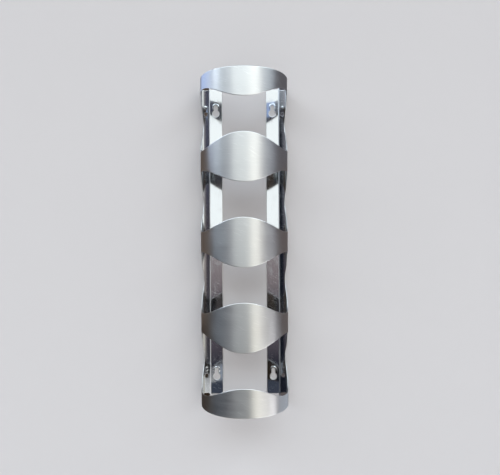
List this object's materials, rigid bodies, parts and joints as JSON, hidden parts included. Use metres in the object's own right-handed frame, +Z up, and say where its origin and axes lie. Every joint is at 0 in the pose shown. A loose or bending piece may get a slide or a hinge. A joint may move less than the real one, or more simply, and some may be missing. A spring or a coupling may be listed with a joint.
{
  "type": "wall bottle rack",
  "caption": "Wall-hung stainless steel rack rolled from one sheet: wave-edged bands hold bottles lying across it, and keyholed flanges hang it on screws.",
  "frame": {"origin": "middle of the four keyholes' round holes, in the plane of the wall", "axes": "+Z up along the rack as it hangs, +X to the right as one faces it, +Y into the wall, so the rack stands out towards -Y"},
  "size_m": [0.123, 0.094, 0.46],
  "materials": {
    "satin_stainless": "brushed round the barrel outside, bright inside",
    "bright_stainless": "bright rolled"
  },
  "bodies": {
    "root": {"left_mounting_flange": "bright_stainless", "right_mounting_flange": "bright_stainless", "left_side_rail": "satin_stainless", "right_side_rail": "satin_stainless", "bottom_band": "satin_stainless", "lower_band": "satin_stainless", "middle_band": "satin_stainless", "upper_band": "satin_stainless", "top_band": "satin_stainless"}
  },
  "joints": []
}
